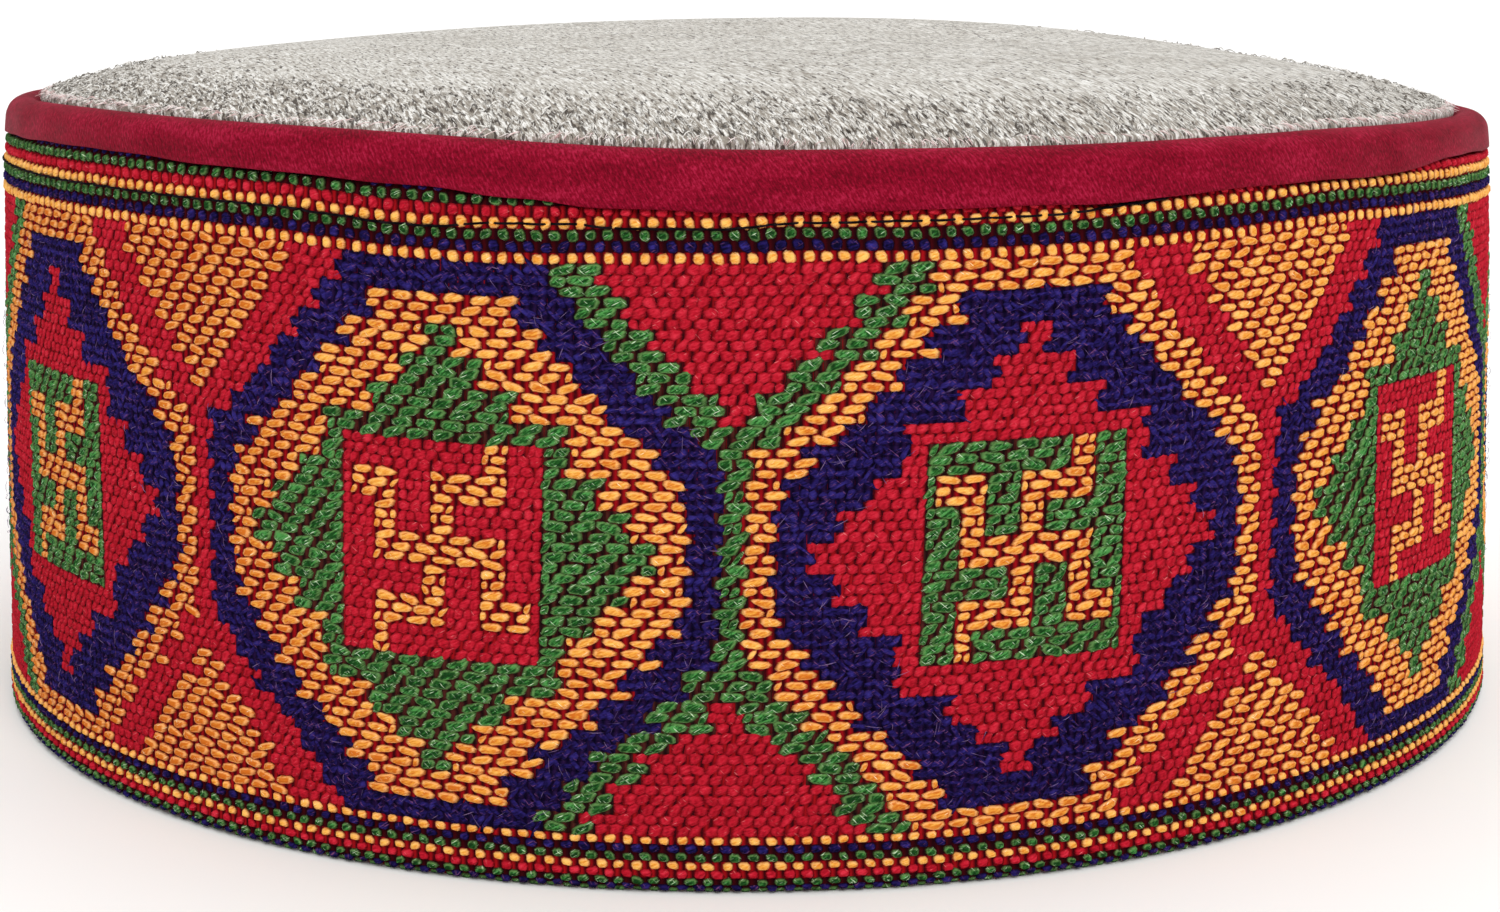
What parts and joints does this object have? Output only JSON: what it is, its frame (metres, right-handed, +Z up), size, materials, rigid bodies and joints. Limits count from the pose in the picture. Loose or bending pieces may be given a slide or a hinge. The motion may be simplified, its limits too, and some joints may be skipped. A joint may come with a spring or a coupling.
{
  "type": "drum-shaped wool cap with a woven pattern band",
  "caption": "Round drum-shaped cap: domed grey wool crown, straight wall with a woven diamond-pattern band, folded tape binding round the top edge.",
  "frame": {"origin": "centre of the oval rim that the cap rests on, at the surface", "axes": "+Z up through the crown; the wearer's front, which the picture shows, faces -Y; +X to the picture's right"},
  "size_m": [0.1846, 0.195, 0.0786],
  "materials": {
    "wool_crown": "matt woven tweed",
    "wool_wall": "matt woven tweed",
    "woven_band": "matt weft-patterned wool",
    "binding_tape": "fine twill with a slight sheen"
  },
  "bodies": {
    "root": {"crown_top": "wool_crown", "inner_wall": "wool_wall", "patterned_band": "woven_band", "top_binding": "binding_tape"}
  },
  "joints": []
}
